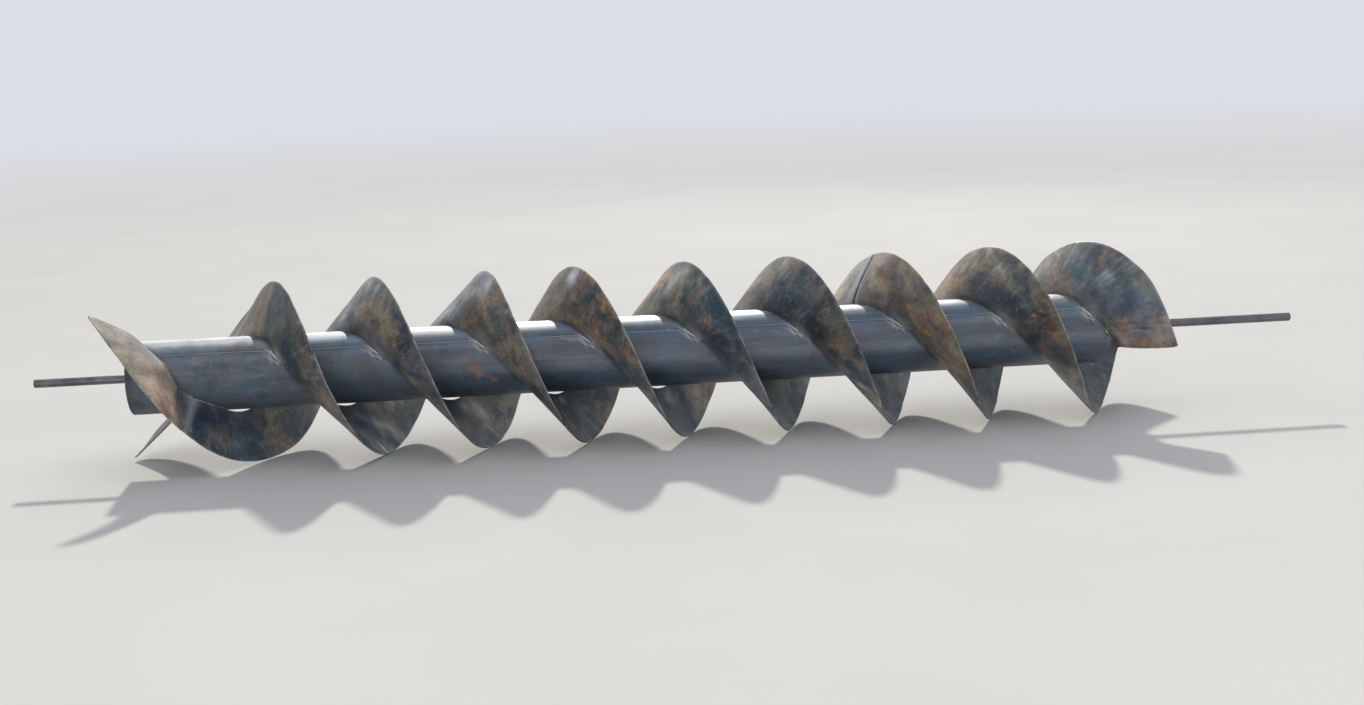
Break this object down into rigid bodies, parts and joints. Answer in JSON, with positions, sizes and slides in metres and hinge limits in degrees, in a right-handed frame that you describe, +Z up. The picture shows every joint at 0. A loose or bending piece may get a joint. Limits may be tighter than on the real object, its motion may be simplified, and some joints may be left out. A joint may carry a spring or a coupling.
{
  "type": "archimedes screw turbine runner",
  "caption": "Bare steel runner of an Archimedes screw turbine: right-handed helical flights in welded sections round a hub tube, with a thin stub shaft at each end",
  "frame": {"origin": "On the floor under the middle of the runner's length, at the bottom centre of its bounding box; the screw axis is 0.2082 m above it", "axes": "+X along the screw axis toward the drive end with the longer shaft, +Z up, +Y away from the viewer of the picture; the helix is right-handed about X"},
  "size_m": [2.98, 0.4164, 0.4164],
  "materials": {
    "hub_steel": "rolled pipe with dark blue-grey mill scale, long drawn streaks and a few rust spots",
    "end_plate_steel": "flame-cut plate with dark mill scale and a weld round its edge",
    "shaft_steel": "round bar, dull grey with light rust",
    "flight_steel": "hot-rolled plate, grey-brown mill scale with orange rust patches and ground weld seams"
  },
  "bodies": {
    "root": {"hub_tube": "hub_steel", "tail_end_plate": "end_plate_steel", "drive_end_plate": "end_plate_steel", "tail_stub_shaft": "shaft_steel", "drive_stub_shaft": "shaft_steel", "flight_a_section_01": "flight_steel", "flight_a_section_02": "flight_steel", "flight_a_section_03": "flight_steel", "flight_a_section_04": "flight_steel", "flight_a_section_05": "flight_steel", "flight_a_section_06": "flight_steel", "flight_a_section_07": "flight_steel", "flight_a_section_08": "flight_steel", "flight_a_section_09": "flight_steel", "flight_a_section_10": "flight_steel", "flight_b_section_01": "flight_steel", "flight_b_section_02": "flight_steel", "flight_b_section_03": "flight_steel", "flight_b_section_04": "flight_steel", "flight_b_section_05": "flight_steel", "flight_b_section_06": "flight_steel", "flight_b_section_07": "flight_steel", "flight_b_section_08": "flight_steel", "flight_b_section_09": "flight_steel", "flight_b_section_10": "flight_steel"}
  },
  "joints": []
}
